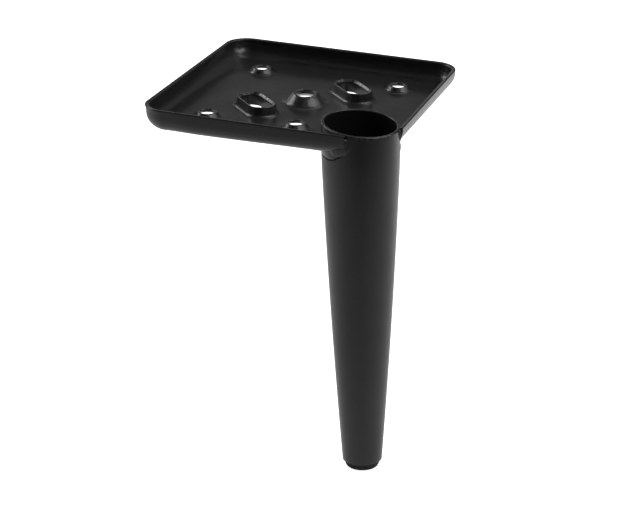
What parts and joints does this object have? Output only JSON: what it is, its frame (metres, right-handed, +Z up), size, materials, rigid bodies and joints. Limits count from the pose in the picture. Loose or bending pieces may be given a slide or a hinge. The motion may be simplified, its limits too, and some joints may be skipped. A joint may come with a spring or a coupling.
{
  "type": "furniture leg",
  "caption": "Black steel furniture leg: a square pressed tray with flared screw holes and slots, and a raked, tapered round tube welded into its corner, on a plastic glide.",
  "frame": {"origin": "centre of the square tray in the plane of its rim", "axes": "+Z up, out of the tray towards the furniture; the tube is in the +X -Y corner and goes down"},
  "size_m": [0.13, 0.13, 0.1844],
  "materials": {
    "black_paint": "semi-gloss black powder coat on steel",
    "weld_metal": "weld beads under the same black coat",
    "glide_plastic": "moulded black plastic, satin"
  },
  "bodies": {
    "root": {"mounting_tray": "black_paint", "leg_tube": "black_paint", "front_weld": "weld_metal", "side_weld": "weld_metal", "underside_weld": "weld_metal", "foot_glide": "glide_plastic"}
  },
  "joints": []
}
